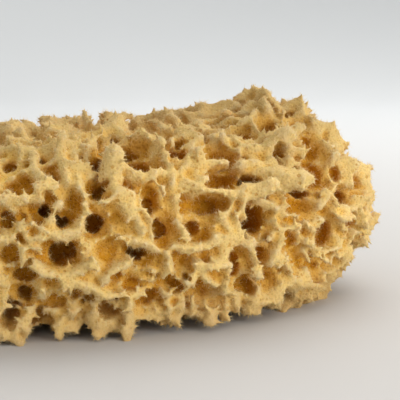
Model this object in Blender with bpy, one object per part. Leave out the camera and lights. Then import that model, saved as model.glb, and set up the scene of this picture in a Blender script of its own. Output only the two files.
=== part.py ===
# Sea sponge: one natural skeleton, full of round pits whose walls meet in ridges and pegs.
# Metres, +Z up. The long side lies along X, and the side described pit by pit faces -Y.
import math
import random

import bmesh
import bpy
import numpy as np
from mathutils import Matrix, Vector, geometry
from mathutils.bvhtree import BVHTree

MM = 0.001

# The loaf shape of the sponge before its pits. Each station along X holds its place,
# half width, top and lowest point in millimetres, and the ground cuts off what is below it.
STATIONS = [
    (-92, 46.5, 58.5, -17), (-60, 47.5, 60, -12), (-30, 48, 60, -8), (0, 47.5, 59, -11),
    (20, 45, 60, -14), (40, 42, 58, -11), (58, 40, 54, -1), (73, 40, 49, 14),
]
MIDDLE_HEIGHT = 30 * MM
PLAN_SQUARENESS = 2.5
SIDE_SQUARENESS = 2.4
HUMP_CENTRE = (43 * MM, -2 * MM)
HUMP_SPREAD = (22 * MM, 40 * MM)
HUMP_RISE = 14.5 * MM
UNDERSIDE = -1 * MM
LOAF_DETAIL = 5

# Where the layout of the front was read from, and the real size of one of its squares there
EYE_AZIMUTH = math.radians(-24)
EYE_ELEVATION = math.radians(9)
EYE_DISTANCE = 345 * MM
LOOK_AT = Vector((-6 * MM, -39 * MM, 39.5 * MM))
PICTURE_MIDDLE = 200
PICTURE_STEP = 0.3 * MM
VIEW_SHARE_OF_AXIS = 0.45
MOUTH_GROWTH = 1.25
REACH_WEIGHT = 0.5

# Pits of the front: column and row of the mouth in the 400 x 400 photograph, then its size across
# and up and its depth in millimetres, and its turn in degrees. A depth near 1 is a flat patch.
FRONT_PITS = [
    # along the top edge
    (14, 142, 7, 4, 4, 0), (48, 137, 7, 4, 9, 10), (84, 140, 4, 3, 7, 0), (96, 156, 5, 8, 15, 10),
    (138, 160, 9, 8, 14, 0), (137, 131, 4, 4, 8, 0), (160, 133, 4, 5, 9, 20), (113, 136, 6, 4, 5, 0),
    (176, 149, 8, 9, 9, -20), (209, 134, 7, 4, 9, -10), (238, 135, 8, 6, 8, -15), (254, 113, 8, 5, 4, -10),
    (223, 112, 7, 5, 4, -20), (266, 126, 7, 7, 8, 40), (289, 110, 5, 5, 5, 0), (299, 124, 6, 6, 8, 0),
    (313, 136, 5, 6, 8, 20), (186, 127, 6, 4, 4, 0),
    # upper front
    (22, 186, 9, 8, 4, 0), (10, 163, 6, 5, 5, 0), (35, 160, 6, 5, 5, 0), (51, 173, 4, 3, 8, 0),
    (73, 160, 5, 9, 1, 0), (74, 183, 5, 6, 2, 0), (103, 186, 5, 4, 9, -20), (127, 184, 5, 5, 4, 0),
    (190, 166, 8, 7, 1, 0), (218, 156, 9, 5, 4, -15), (226, 180, 11, 7, 12, -15), (256, 181, 5, 4, 9, 20),
    (254, 150, 8, 6, 1, 0), (280, 153, 6, 4, 6, 30), (300, 147, 6, 5, 1, 0), (318, 167, 9, 11, 11, -15),
    (285, 174, 7, 4, 1, 0), (303, 191, 9, 4, 14, 10), (301, 206, 14, 6, 8, 8), (345, 197, 6, 5, 8, 0),
    (337, 171, 5, 7, 5, 0), (333, 149, 6, 6, 5, 0), (360, 180, 6, 6, 5, 0), (366, 203, 5, 6, 4, 0),
    # middle of the front
    (44, 209, 4, 6, 14, -30), (62, 219, 4, 5, 12, -30), (75, 201, 6, 6, 4, 0), (23, 214, 5, 5, 3, 0),
    (5, 219, 5, 5, 8, 0), (24, 240, 6, 5, 3, 0), (95, 222, 6, 6, 15, 15), (112, 217, 3, 4, 5, 0),
    (124, 204, 6, 5, 1, 0), (152, 201, 4, 11, 9, -5), (163, 230, 5, 11, 9, 0), (134, 231, 5, 5, 1, 0),
    (182, 205, 5, 7, 1, 0), (210, 205, 13, 6, 9, -5), (196, 230, 6, 6, 9, 20), (222, 226, 6, 6, 1, 0),
    (257, 221, 8, 11, 16, 20), (262, 198, 8, 2, 4, -10), (282, 220, 5, 6, 3, 0), (289, 241, 8, 8, 4, 0),
    (327, 234, 8, 8, 8, 0), (325, 212, 5, 4, 3, 0), (353, 222, 6, 7, 6, 0), (306, 226, 4, 6, 3, 0),
    # lower front
    (61, 255, 9, 9, 14, 20), (34, 259, 5, 6, 3, 0), (10, 255, 7, 6, 4, 0), (111, 251, 12, 9, 4, 10),
    (140, 255, 7, 5, 13, 0), (86, 279, 7, 5, 1, 0), (117, 277, 6, 3, 5, 20), (164, 263, 7, 6, 2, 0),
    (184, 261, 4, 4, 6, 0), (203, 254, 5, 7, 2, 0), (236, 267, 5, 12, 7, -8), (262, 257, 6, 6, 7, 50),
    (223, 245, 5, 5, 1, 0), (268, 280, 7, 4, 8, 20), (249, 290, 6, 5, 9, 30), (285, 266, 5, 5, 4, 0),
    (306, 262, 6, 6, 4, 0), (333, 259, 6, 5, 5, 0), (142, 281, 6, 5, 2, 0), (208, 280, 6, 5, 2, 0),
    # underside of the bulge
    (25, 279, 7, 4, 8, 0), (52, 284, 6, 5, 3, 0), (22, 301, 4, 6, 12, 0), (8, 318, 7, 7, 10, 0),
    (56, 306, 8, 6, 5, 0), (88, 304, 7, 6, 4, 0), (116, 303, 6, 5, 4, 0), (146, 303, 7, 5, 5, 0),
    (176, 290, 6, 5, 5, 0), (184, 315, 6, 3, 9, 0), (214, 308, 7, 5, 6, 10), (285, 297, 8, 5, 7, 10),
    (235, 310, 6, 5, 5, 0), (308, 286, 8, 5, 6, 20), (33, 325, 6, 5, 5, 0), (111, 324, 6, 5, 5, 0),
]

# Pegs of the front: column and row of the foot, then of the tip, and both radii in millimetres
FRONT_PEGS = [
    (112, 186, 113, 152, 3.0, 2.4), (60, 160, 62, 134, 2.4, 1.0), (86, 160, 95, 142, 2.0, 0.5),
    (49, 226, 59, 204, 2.4, 1.2), (203, 172, 199, 150, 3.4, 1.2), (212, 166, 227, 163, 2.2, 0.6),
    (234, 196, 271, 184, 2.8, 2.2), (246, 168, 306, 180, 3.2, 3.0), (264, 150, 286, 134, 2.8, 2.0),
    (150, 186, 155, 174, 1.6, 0.5), (157, 210, 160, 188, 2.4, 0.8), (261, 310, 258, 294, 2.4, 1.5),
    (145, 228, 157, 222, 2.8, 0.8), (86, 208, 88, 194, 1.8, 0.5), (56, 322, 58, 342, 2.2, 0.6),
    (163, 318, 166, 334, 2.0, 0.6),
]

# The rest of the sponge is filled with pits at random. Spacings and sizes in metres.
SEED = 41
TRIES = 16000
FRONT_SPACING = 8.6 * MM
REST_SPACING = 10.4 * MM
PIT_SHARE_OF_CELL = (0.34, 0.47)
PIT_DEPTH_PER_RADIUS = (1.5, 3.0)
PIT_LEAN = 0.25
PIT_STRETCH = (0.8, 1.3)
ROOM_PER_REACH = 1.3
FLAT_PATCH_RADIUS = 8 * MM
FACING_THE_EYE = -0.15
FIRST_COVERED_COLUMN = -8
LOWEST_COVERED = 2 * MM

# How a cell is hollowed out: the dish slopes from its rim to the mouth, and the pit narrows below
DISH_DEPTH_SHARE = 0.2
DISH_DEPTH_LIMIT = 1.4 * MM
MOUTH_LIMIT = 0.84
PIT_FLOOR_SHARE = 0.66
FLAT = 1.5 * MM
PEAK_RISE = (0.4 * MM, 4.2 * MM)
SADDLE_DROP = 1.0 * MM
LONG_EDGE = 7.5 * MM
ROUNDNESS = 0.02
LOPSIDED_DEPTH = 2 * MM
SETTLING = 0.86
SETTLING_ROUNDS = 14
SMALLEST_GAP = 0.01 * MM
BLOCK_OF_FACES = 1024

# Pegs run on below the surface, and start and end a share of their radius under it
PEG_ROOT = 3.0 * MM
PEG_SIDES = 6
FOOT_SUNK_SHARE = 0.8
TIP_SUNK_SHARE = 0.3

# The ground that cuts the underside flat
GROUND_LENGTH = 500 * MM
GROUND_THICKNESS = 100 * MM

SPONGE_COLOUR = (0.66, 0.44, 0.17, 1)
SPONGE_ROUGHNESS = 0.95


def clear_scene():
    for old in list(bpy.data.objects):
        bpy.data.objects.remove(old, do_unlink=True)


def loaf_point(direction):
    """The point of the loaf's surface that lies this way from its middle."""
    along, aside, height = direction
    plan = abs(along) ** PLAN_SQUARENESS + abs(aside) ** PLAN_SQUARENESS
    side = plan ** (SIDE_SQUARENESS / PLAN_SQUARENESS) + abs(height) ** SIDE_SQUARENESS
    along, aside, height = direction * side ** (-1 / SIDE_SQUARENESS)
    places, widths, tops, lows = zip(*STATIONS)
    station = (places[0] + places[-1]) / 2 + along * (places[-1] - places[0]) / 2
    width, top, low = (np.interp(station, places, sizes) * MM for sizes in (widths, tops, lows))
    x, y = station * MM, aside * width
    if height < 0:
        return Vector((x, y, max(MIDDLE_HEIGHT + height * (MIDDLE_HEIGHT - low), UNDERSIDE)))
    away = ((x - HUMP_CENTRE[0]) / HUMP_SPREAD[0]) ** 2 + ((y - HUMP_CENTRE[1]) / HUMP_SPREAD[1]) ** 2
    top += HUMP_RISE * math.exp(-away)
    return Vector((x, y, MIDDLE_HEIGHT + height * (top - MIDDLE_HEIGHT)))


def new_object(name, bm, helper=False):
    mesh = bpy.data.meshes.new(name)
    bm.to_mesh(mesh)
    bm.free()
    made = bpy.data.objects.new(name, mesh)
    bpy.context.scene.collection.objects.link(made)
    made.hide_render = helper
    if helper:
        made.display_type = "WIRE"
    return made


def make_loaf():
    bm = bmesh.new()
    bmesh.ops.create_icosphere(bm, subdivisions=LOAF_DETAIL, radius=1)
    for vertex in bm.verts:
        vertex.co = loaf_point(vertex.co.normalized())
    bm.normal_update()
    return bm


def eye_axes():
    """Rightwards, upwards and forwards from the eye."""
    flat = math.cos(EYE_ELEVATION)
    forward = Vector((-math.sin(EYE_AZIMUTH) * flat, math.cos(EYE_AZIMUTH) * flat, -math.sin(EYE_ELEVATION)))
    right = forward.cross(Vector((0, 0, 1))).normalized()
    return right, right.cross(forward), forward


def sight_line(column, row):
    """Start and direction of the line from the eye through a point of the picture."""
    right, up, forward = eye_axes()
    eye = LOOK_AT - forward * EYE_DISTANCE
    across = (column - PICTURE_MIDDLE) * PICTURE_STEP
    height = (PICTURE_MIDDLE - row) * PICTURE_STEP
    return eye, (forward * EYE_DISTANCE + right * across + up * height).normalized()


def on_loaf(tree, column, row):
    """Where that line meets the loaf, the loaf's outward normal there, and the line's direction."""
    eye, sight = sight_line(column, row)
    place, normal, _, _ = tree.ray_cast(eye, sight)
    if place is None:
        place, normal, _, _ = tree.find_nearest(eye + sight * (LOOK_AT - eye).length)
    return place, normal, sight


def seen_in_front(place, normal):
    """True where the hand-laid pits already cover the sponge."""
    right, _, forward = eye_axes()
    seen = place - (LOOK_AT - forward * EYE_DISTANCE)
    column = PICTURE_MIDDLE + seen.dot(right) / seen.dot(forward) * EYE_DISTANCE / PICTURE_STEP
    facing = normal.dot(seen.normalized()) < FACING_THE_EYE
    return facing and column > FIRST_COVERED_COLUMN and place.z > LOWEST_COVERED


def spread_points(loaf, rng):
    """Random points over the whole loaf with their normals, each patch as likely as its area."""
    faces = list(loaf.faces)
    for face in rng.choices(faces, weights=[face.calc_area() for face in faces], k=TRIES):
        a, b = sorted((rng.random(), rng.random()))
        corners = [vertex.co for vertex in face.verts]
        yield corners[0] * a + corners[1] * (b - a) + corners[2] * (1 - b), face.normal.copy()


def lay_pits(loaf, tree, rng):
    """Each pit: where its mouth is, its inward axis, its half sizes across and up, depth, turn and reach."""
    right, _, _ = eye_axes()
    pits = []
    for column, row, across, up, depth, turn in FRONT_PITS:
        place, normal, sight = on_loaf(tree, column, row)
        inward = (sight * VIEW_SHARE_OF_AXIS - normal * (1 - VIEW_SHARE_OF_AXIS)).normalized()
        half_across, half_up = across / 2 * MM * MOUTH_GROWTH, up / 2 * MM * MOUTH_GROWTH
        reach = math.sqrt(half_across * half_up)
        depth, turn = depth * MM, math.radians(turn)
        pits.append((place, inward, right, half_across, half_up, depth, turn, reach, -normal))
    for place, normal in spread_points(loaf, rng):
        spacing = FRONT_SPACING if seen_in_front(place, normal) else REST_SPACING
        radius = spacing * rng.uniform(*PIT_SHARE_OF_CELL)
        stretch = rng.uniform(*PIT_STRETCH)
        depth = radius * rng.uniform(*PIT_DEPTH_PER_RADIUS)
        lean = Vector([rng.uniform(-PIT_LEAN, PIT_LEAN) for _ in range(3)])
        turn = rng.uniform(0, math.pi)
        if place.z <= 0 and place.xy.length < FLAT_PATCH_RADIUS:
            depth = 0
        room = spacing / 2
        if all((place - pit[0]).length > room + max(room, pit[7] * ROOM_PER_REACH) for pit in pits):
            inward = (lean - normal).normalized()
            half_across, half_up = radius * stretch, radius / stretch
            across = inward.orthogonal()
            pits.append((place, inward, across, half_across, half_up, depth, turn, radius, -normal))
    return pits


def part_into_cells(loaf, pits):
    """One face for each pit: the ground it is nearest to, with a larger share for a larger pit."""
    owner = loaf.faces.layers.int.new("pit")
    faces = list(loaf.faces)
    centres = np.array([face.calc_center_median() for face in faces])
    places = np.array([pit[0] for pit in pits])
    reaches = np.array([pit[7] for pit in pits])
    for start in range(0, len(faces), BLOCK_OF_FACES):
        block = slice(start, start + BLOCK_OF_FACES)
        gaps = ((centres[block, None] - places[None]) ** 2).sum(2) - reaches ** 2 * REACH_WEIGHT
        for face, nearest in zip(faces[block], gaps.argmin(1)):
            face[owner] = int(nearest)
    inner = [e for e in loaf.edges if e.link_faces[0][owner] == e.link_faces[1][owner]]
    bmesh.ops.dissolve_edges(loaf, edges=inner, use_verts=False)
    bmesh.ops.delete(loaf, geom=[v for v in loaf.verts if not v.link_faces], context="VERTS")
    return owner


def borders(loaf):
    """The runs of vertices between the points where three cells meet."""
    for corner in [v for v in loaf.verts if len(v.link_edges) > 2]:
        for edge in corner.link_edges:
            run, vertex = [corner], edge.other_vert(corner)
            while len(vertex.link_edges) == 2:
                run.append(vertex)
                edge = vertex.link_edges[0] if vertex.link_edges[1] is edge else vertex.link_edges[1]
                vertex = edge.other_vert(vertex)
            run.append(vertex)
            if run[0].index < run[-1].index:
                yield run


def straighten_borders(loaf):
    """A border keeps its two ends, and its middle where it is long and in view."""
    loaf.verts.index_update()
    loaf.normal_update()
    middles = set()
    for run in borders(loaf):
        middle = run[len(run) // 2]
        is_long = len(run) > 2 and (run[0].co - run[-1].co).length > LONG_EDGE
        if is_long and seen_in_front(middle.co, middle.normal):
            middles.add(middle)
    spare = [v for v in loaf.verts if len(v.link_edges) == 2 and v not in middles]
    bmesh.ops.dissolve_verts(loaf, verts=spare)
    return middles


def raise_peaks(loaf, middles, rng):
    """Ridges stand up in a peak where three cells meet, and sag between the peaks."""
    loaf.normal_update()
    moves = {}
    for vertex in loaf.verts:
        rise = -SADDLE_DROP if vertex in middles else rng.uniform(*PEAK_RISE)
        moves[vertex] = vertex.normal * rise
    for vertex, move in moves.items():
        vertex.co += move


def ring_places(rim, pit, depth, width):
    """The mouth of the pit below its rim, scaled by width, and its narrower floor."""
    place, inward, reference, half_across, half_up, _, turn, _, below = pit
    across = (reference - below * reference.dot(below)).normalized()
    across = Matrix.Rotation(turn, 3, below) @ across
    up = below.cross(across)
    dish = min(depth * DISH_DEPTH_SHARE, DISH_DEPTH_LIMIT)
    mouth, floor = [], []
    for corner in rim:
        out = corner - place
        out -= below * out.dot(below)
        ellipse = math.hypot(out.dot(across) / half_across, out.dot(up) / half_up)
        out *= min(1 / ellipse, MOUTH_LIMIT) * width
        mouth.append(place + out + below * dish)
        floor.append(place + out * PIT_FLOOR_SHARE + below * dish + inward * max(depth - dish, 0))
    return mouth, floor


def goes_round(rim, place, below):
    """True where the rim runs once round the place without turning back."""
    outs = [corner - place for corner in rim]
    turns = [one.cross(other).dot(below) for one, other in zip(outs, outs[1:] + outs[:1])]
    return all(turn < -ROUNDNESS * one.length * one.length for turn, one in zip(turns, outs))


def make_cells(loaf, owner, pits):
    """Each face becomes a cell with a rim, a mouth and a floor, or stays flat where it is too lopsided."""
    cells = []
    for face in list(loaf.faces):
        pit = pits[face[owner]]
        rim = list(face.verts)
        corners = [vertex.co for vertex in rim]
        depth = pit[5]
        if not goes_round(corners, pit[0], pit[8]):
            centre, below = face.calc_center_median(), -face.normal
            pit = (centre, below, *pit[2:8], below)
            depth = min(depth, LOPSIDED_DEPTH)
            if not goes_round(corners, centre, below):
                continue
        mouth, floor = ring_places(corners, pit, depth, 1)
        rings = [rim, [loaf.verts.new(place) for place in mouth]]
        if depth > FLAT:
            rings.append([loaf.verts.new(place) for place in floor])
        loaf.faces.remove(face)
        cells.append([pit, depth, 1, rings])
    return cells


def build_walls(loaf, owner, cells):
    for face in loaf.faces:
        face[owner] = -1
    for index, (_, _, _, rings) in enumerate(cells):
        count = len(rings[0])
        for outer, inner in zip(rings, rings[1:]):
            for i in range(count):
                wall = loaf.faces.new((outer[i], outer[(i + 1) % count], inner[(i + 1) % count], inner[i]))
                wall[owner] = index
        loaf.faces.new(rings[-1])[owner] = index
    bmesh.ops.triangulate(loaf, faces=list(loaf.faces))


def pierces(edge, corners):
    """True where the edge goes through the triangle."""
    start, end = edge
    hit = geometry.intersect_ray_tri(*corners, end - start, start, True)
    return hit is not None and (hit - start).length < (end - start).length


def cross_each_other(one, other):
    shared = set(one.verts) & set(other.verts)
    if len(shared) != 1:
        return not shared
    for face, against in ((one, other), (other, one)):
        edge = [vertex.co for vertex in face.verts if vertex not in shared]
        if pierces(edge, [vertex.co for vertex in against.verts]):
            return True
    return False


def settle_depths(loaf, owner, cells):
    """Pits that run into each other become shallower and narrower until none do."""
    for _ in range(SETTLING_ROUNDS):
        loaf.faces.ensure_lookup_table()
        tree = BVHTree.FromBMesh(loaf)
        crossing = set()
        for a, b in tree.overlap(tree):
            one, other = loaf.faces[a], loaf.faces[b]
            if a < b and cross_each_other(one, other):
                crossing |= {one[owner], other[owner]}
        crossing.discard(-1)
        if not crossing:
            return
        for index in crossing:
            pit, depth, width, rings = cells[index]
            depth, width = depth * SETTLING, width * SETTLING
            cells[index][1:3] = depth, width
            mouth, floor = ring_places([vertex.co for vertex in rings[0]], pit, depth, width)
            for ring, places in zip(rings[1:], (mouth, floor)):
                for vertex, place in zip(ring, places):
                    vertex.co = place


def peg(foot, tip, foot_radius, tip_radius):
    """A tapered peg, rooted below the surface so that it grows out of it."""
    along = tip - foot
    root = foot - along.normalized() * PEG_ROOT
    bm = bmesh.new()
    bmesh.ops.create_cone(bm, cap_ends=True, segments=PEG_SIDES, radius1=foot_radius, radius2=tip_radius,
                          depth=(tip - root).length)
    bm.transform(Matrix.Translation((root + tip) / 2) @ along.to_track_quat("Z", "Y").to_matrix().to_4x4())
    return new_object("peg", bm, helper=True)


def front_pegs(tree):
    for column, row, tip_column, tip_row, foot_radius, tip_radius in FRONT_PEGS:
        foot, normal, _ = on_loaf(tree, column, row)
        eye, sight = sight_line(tip_column, tip_row)
        tip = eye + sight * (foot - eye).length
        foot_radius, tip_radius = foot_radius * MM, tip_radius * MM
        foot -= normal * foot_radius * FOOT_SUNK_SHARE
        tip -= normal * tip_radius * TIP_SUNK_SHARE
        yield peg(foot, tip, foot_radius, tip_radius)


def helpers(name, objects):
    """A collection of helpers for one Boolean."""
    group = bpy.data.collections.new(name)
    bpy.context.scene.collection.children.link(group)
    for made in objects:
        bpy.context.scene.collection.objects.unlink(made)
        group.objects.link(made)
    return group


def combine(target, group, operation):
    step = target.modifiers.new(operation.title(), "BOOLEAN")
    step.operation = operation
    step.operand_type = "COLLECTION"
    step.collection = group
    step.solver = "EXACT"


def settled_mesh(made):
    """The mesh with its modifiers worked out."""
    bpy.context.view_layer.update()
    graph = bpy.context.evaluated_depsgraph_get()
    return bpy.data.meshes.new_from_object(made.evaluated_get(graph))


def ground_block():
    bm = bmesh.new()
    bmesh.ops.create_cube(bm, size=1)
    size = Matrix.Diagonal((GROUND_LENGTH, GROUND_LENGTH, GROUND_THICKNESS, 1))
    bm.transform(Matrix.Translation((0, 0, -GROUND_THICKNESS / 2)) @ size)
    return new_object("ground", bm, helper=True)


def keep_largest_body(bm):
    """Scraps cut loose fall away."""
    left, largest = set(bm.verts), set()
    while left:
        body, front = set(), {left.pop()}
        while front:
            vertex = front.pop()
            body.add(vertex)
            front |= {e.other_vert(vertex) for e in vertex.link_edges} - body
        left -= body
        largest = max(largest, body, key=len)
    bmesh.ops.delete(bm, geom=[v for v in bm.verts if v not in largest], context="VERTS")


def centre_over_origin(bm):
    """The middle of its outer sizes in plan comes over the origin."""
    middle = Vector([(min(sizes) + max(sizes)) / 2 for sizes in zip(*[vertex.co.xy for vertex in bm.verts])])
    bmesh.ops.translate(bm, verts=list(bm.verts), vec=(-middle.x, -middle.y, 0))


def sponge_material():
    material = bpy.data.materials.new("sponge")
    material.use_nodes = True
    shader = material.node_tree.nodes["Principled BSDF"]
    shader.inputs["Base Color"].default_value = SPONGE_COLOUR
    shader.inputs["Roughness"].default_value = SPONGE_ROUGHNESS
    shader.inputs["Metallic"].default_value = 0
    return material


def main():
    clear_scene()
    rng = random.Random(SEED)
    loaf = make_loaf()
    tree = BVHTree.FromBMesh(loaf)
    pits = lay_pits(loaf, tree, rng)
    owner = part_into_cells(loaf, pits)
    middles = straighten_borders(loaf)
    raise_peaks(loaf, middles, rng)
    cells = make_cells(loaf, owner, pits)
    build_walls(loaf, owner, cells)
    settle_depths(loaf, owner, cells)
    print(len(pits), "pits laid")
    bmesh.ops.triangulate(loaf, faces=list(loaf.faces))
    bmesh.ops.recalc_face_normals(loaf, faces=list(loaf.faces))
    body = new_object("body", loaf)
    combine(body, helpers("pegs", list(front_pegs(tree))), "UNION")
    combine(body, helpers("ground", [ground_block()]), "DIFFERENCE")
    bm = bmesh.new()
    bm.from_mesh(settled_mesh(body))
    bmesh.ops.remove_doubles(bm, verts=list(bm.verts), dist=SMALLEST_GAP)
    bmesh.ops.dissolve_degenerate(bm, edges=list(bm.edges), dist=SMALLEST_GAP)
    bmesh.ops.triangulate(bm, faces=list(bm.faces))
    keep_largest_body(bm)
    centre_over_origin(bm)
    print(len(bm.faces), "triangles")
    sponge = new_object("sponge", bm)
    sponge.data.materials.append(sponge_material())
    for helper in [o for o in bpy.data.objects if o is not sponge]:
        bpy.data.objects.remove(helper, do_unlink=True)


main()
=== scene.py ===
import math
import random
import time

import bmesh
import bpy
import numpy as np
from mathutils import Matrix, Vector
from mathutils.bvhtree import BVHTree
from mathutils.kdtree import KDTree


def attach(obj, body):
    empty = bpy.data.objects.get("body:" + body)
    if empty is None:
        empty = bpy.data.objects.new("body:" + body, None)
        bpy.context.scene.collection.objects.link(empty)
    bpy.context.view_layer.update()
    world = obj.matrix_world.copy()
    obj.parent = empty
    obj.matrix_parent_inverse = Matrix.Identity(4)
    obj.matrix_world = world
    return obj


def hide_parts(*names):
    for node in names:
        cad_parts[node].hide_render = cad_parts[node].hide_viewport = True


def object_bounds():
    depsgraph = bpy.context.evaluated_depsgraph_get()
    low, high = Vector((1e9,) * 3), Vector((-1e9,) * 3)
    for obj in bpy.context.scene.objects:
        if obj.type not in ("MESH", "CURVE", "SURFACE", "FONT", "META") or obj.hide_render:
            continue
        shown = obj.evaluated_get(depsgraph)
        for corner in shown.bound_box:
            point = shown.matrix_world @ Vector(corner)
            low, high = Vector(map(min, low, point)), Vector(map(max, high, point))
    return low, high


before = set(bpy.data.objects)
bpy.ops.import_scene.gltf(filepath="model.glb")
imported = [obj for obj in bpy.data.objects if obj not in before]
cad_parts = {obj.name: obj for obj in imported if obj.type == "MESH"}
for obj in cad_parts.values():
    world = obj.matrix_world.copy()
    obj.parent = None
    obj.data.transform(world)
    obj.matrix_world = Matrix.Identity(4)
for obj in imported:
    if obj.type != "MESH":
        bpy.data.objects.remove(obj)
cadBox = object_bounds()
mm = 0.001
started = time.time()

# The camera comes first, because the hollows of the front are placed by the photograph's columns and rows.
view = {
    "azimuth": -24,  # degrees, from the sponge's long side
    "elevation": 9,
    "distance": 345 * mm,
    "lookAt": Vector((3.7 * mm, -38.87 * mm, 39.5 * mm)),
    "columnStep": 0.3 * mm,  # real size of one column of the photograph where the camera looks
    "middle": 200,  # middle column and row of the 400 x 400 photograph
    "sensorWidth": 36,
    "nearest": 10 * mm,
}


def viewAxes():
    turn, rise = math.radians(view["azimuth"]), math.radians(view["elevation"])
    forward = Vector((-math.sin(turn) * math.cos(rise), math.cos(turn) * math.cos(rise), -math.sin(rise)))
    right = forward.cross(Vector((0, 0, 1))).normalized()
    return right, right.cross(forward), forward


# The eye and the direction in which it sees a spot of the photograph
def sightLine(column, row):
    right, up, forward = viewAxes()
    eye = view["lookAt"] - forward * view["distance"]
    aside = (column - view["middle"]) * view["columnStep"]
    high = (view["middle"] - row) * view["columnStep"]
    return eye, (forward * view["distance"] + right * aside + up * high).normalized()


def addCamera():
    right, up, forward = viewAxes()
    bpy.ops.object.camera_add()
    camera = bpy.context.object
    camera.name = "camera"
    axes = Matrix((right, up, -forward)).transposed().to_4x4()
    camera.matrix_world = Matrix.Translation(view["lookAt"] - forward * view["distance"]) @ axes
    camera.data.sensor_width = view["sensorWidth"]
    camera.data.lens = view["sensorWidth"] / 2 * view["distance"] / (view["middle"] * view["columnStep"])
    camera.data.clip_start = view["nearest"]
    bpy.context.scene.camera = camera


addCamera()
print("camera placed")


# Small helpers for modelling
def deselectAll():
    bpy.ops.object.select_all(action="DESELECT")


def pick(thing):
    deselectAll()
    thing.select_set(True)
    bpy.context.view_layer.objects.active = thing


def applyStep(thing, kind, **settings):
    step = thing.modifiers.new(kind.title(), kind)
    for name, value in settings.items():
        setattr(step, name, value)
    pick(thing)
    bpy.ops.object.modifier_apply(modifier=step.name)


def smooth(thing, rounds):
    applyStep(thing, "SMOOTH", factor=0.5, iterations=rounds)


def remesh(thing, voxel):
    applyStep(thing, "REMESH", mode="VOXEL", voxel_size=voxel)


# Moves the surface in and out by a cloud noise
def roughen(thing, name, scale, strength):
    texture = bpy.data.textures.new(name, "CLOUDS")
    texture.noise_scale = scale
    texture.noise_depth = 2
    applyStep(thing, "DISPLACE", texture=texture, strength=strength, mid_level=0.5, texture_coords="LOCAL")


def drop(*things):
    for thing in things:
        bpy.data.objects.remove(thing, do_unlink=True)


def joinAll(main, others):
    pick(main)
    for other in others:
        other.select_set(True)
    bpy.ops.object.join()


def addObject(name, mesh):
    made = bpy.data.objects.new(name, mesh)
    bpy.context.collection.objects.link(made)
    return made


def addBall(subdivisions):
    bpy.ops.mesh.primitive_ico_sphere_add(subdivisions=subdivisions, radius=1)
    return bpy.context.object


def vertexVectors(thing, kind):
    vectors = np.empty(len(thing.data.vertices) * 3, np.float32)
    thing.data.vertices.foreach_get(kind, vectors)
    return vectors.reshape(-1, 3)


def vertexPlaces(thing):
    return vertexVectors(thing, "co")


def vertexNormals(thing):
    return vertexVectors(thing, "normal")


def moveVertices(thing, places):
    thing.data.vertices.foreach_set("co", places.ravel())
    thing.data.update()


def addAttribute(thing, name, values):
    layer = thing.data.attributes.new(name, "FLOAT", "POINT")
    layer.data.foreach_set("value", values.astype(np.float32))


def between(limits, share):
    return limits[0] + (limits[1] - limits[0]) * share


def anyDirection(rng, spread):
    return Vector([rng.uniform(-spread, spread) for _ in range(3)])


# One shape repeated with many matrices, as a single object
def stamp(name, shape, matrices):
    points = vertexPlaces(shape)
    faces = np.array([list(face.vertices) for face in shape.data.polygons])
    stack = np.array([np.array(matrix) for matrix in matrices])
    moved = np.einsum("nij,pj->npi", stack[:, :3, :3], points) + stack[:, None, :3, 3]
    allFaces = faces[None] + (np.arange(len(stack)) * len(points))[:, None, None]
    mesh = bpy.data.meshes.new(name)
    mesh.from_pydata(moved.reshape(-1, 3).tolist(), [], allFaces.reshape(-1, faces.shape[1]).tolist())
    return addObject(name, mesh)


# The rounded loaf that the sponge would be without its pits. It serves to place things on, and to measure how
# deep points lie for the painted shade in the hollows.
loaf = {
    # place along the length, half width, top and lowest point, in millimetres
    "stations": [
        (-92, 46.5, 58.5, -17), (-60, 47.5, 60, -12), (-30, 48, 60, -8), (0, 47.5, 59, -11),
        (20, 45, 60, -14), (40, 42, 58, -11), (58, 40, 54, -1), (73, 40, 49, 14),
    ],
    "shift": Vector((9.7 * mm, 0.13 * mm, 0)),
    "middleHeight": 30,
    "lowest": -1,  # height at which the underside is cut off
    "humpCentre": (43, -2),
    "humpSpread": (22, 40),
    "humpRise": 14.5,
    "planSquareness": 2.5,
    "sideSquareness": 2.4,
    "detail": 5,
}


def loafPoint(direction):
    along, aside, height = direction
    plan = abs(along) ** loaf["planSquareness"] + abs(aside) ** loaf["planSquareness"]
    side = plan ** (loaf["sideSquareness"] / loaf["planSquareness"]) + abs(height) ** loaf["sideSquareness"]
    along, aside, height = direction * side ** (-1 / loaf["sideSquareness"])
    places, widths, tops, lows = zip(*loaf["stations"])
    x = (places[0] + places[-1]) / 2 + along * (places[-1] - places[0]) / 2
    width, top, low = (float(np.interp(x, places, sizes)) for sizes in (widths, tops, lows))
    y, middle = aside * width, loaf["middleHeight"]
    if height < 0:
        return Vector((x, y, max(middle + height * (middle - low), loaf["lowest"]))) * mm + loaf["shift"]
    (humpX, humpY), (spreadX, spreadY) = loaf["humpCentre"], loaf["humpSpread"]
    hump = loaf["humpRise"] * math.exp(-((x - humpX) / spreadX) ** 2 - ((y - humpY) / spreadY) ** 2)
    return Vector((x, y, middle + height * (top - middle + hump))) * mm + loaf["shift"]


def makeLoaf():
    bm = bmesh.new()
    bmesh.ops.create_icosphere(bm, subdivisions=loaf["detail"], radius=1)
    for vertex in bm.verts:
        vertex.co = loafPoint(vertex.co.normalized())
    bm.normal_update()
    return bm


loafMesh = makeLoaf()
loafTree = BVHTree.FromBMesh(loafMesh)


# Where a spot of the photograph lies on the loaf
def onLoaf(column, row):
    eye, sight = sightLine(column, row)
    place, normal, _, _ = loafTree.ray_cast(eye, sight)
    if place is None:
        place, normal, _, _ = loafTree.find_nearest(eye + sight * view["distance"])
    return place, normal, sight


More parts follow.
